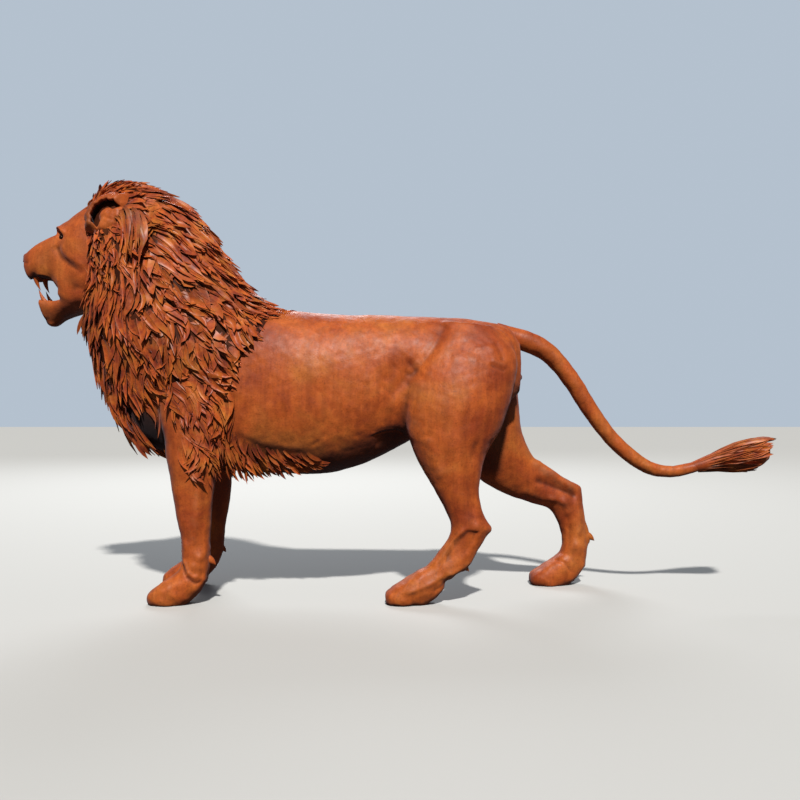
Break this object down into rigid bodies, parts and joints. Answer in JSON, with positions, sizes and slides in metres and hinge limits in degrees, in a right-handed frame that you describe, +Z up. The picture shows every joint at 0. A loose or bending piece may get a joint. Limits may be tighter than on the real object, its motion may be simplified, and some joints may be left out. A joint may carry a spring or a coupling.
{
  "type": "steel lion sculpture",
  "caption": "Life-size standing lion sculpture welded from rusted steel plate, with a strip mane, open mouth with canines and a tufted tail.",
  "frame": {"origin": "on the ground plane under the middle of the lion's overall box", "axes": "-X the way the lion looks, +X along the tail, -Y the lion's left side, +Z up"},
  "size_m": [3.0083, 0.5876, 1.6523],
  "materials": {
    "skin_steel": "weathered mild steel plate, orange-brown rust under a worn clear lacquer",
    "strip_steel": "weathered mild steel strip, red-brown rust, half gloss",
    "dark_steel": "dark oxidised steel"
  },
  "bodies": {
    "root": {"body": "skin_steel", "mane": "strip_steel", "elbow_tuft_left": "strip_steel", "elbow_tuft_right": "strip_steel", "belly_fringe": "strip_steel", "tail": "skin_steel", "tail_tuft": "strip_steel", "ear_left": "skin_steel", "ear_right": "skin_steel", "eye_left": "dark_steel", "eye_right": "dark_steel", "upper_canine_left": "strip_steel", "upper_canine_right": "strip_steel", "lower_canine_left": "strip_steel", "lower_canine_right": "strip_steel", "dewclaw_fore_left": "strip_steel", "dewclaw_fore_right": "strip_steel", "dewclaw_hind_left": "strip_steel", "dewclaw_hind_right": "strip_steel"}
  },
  "joints": []
}
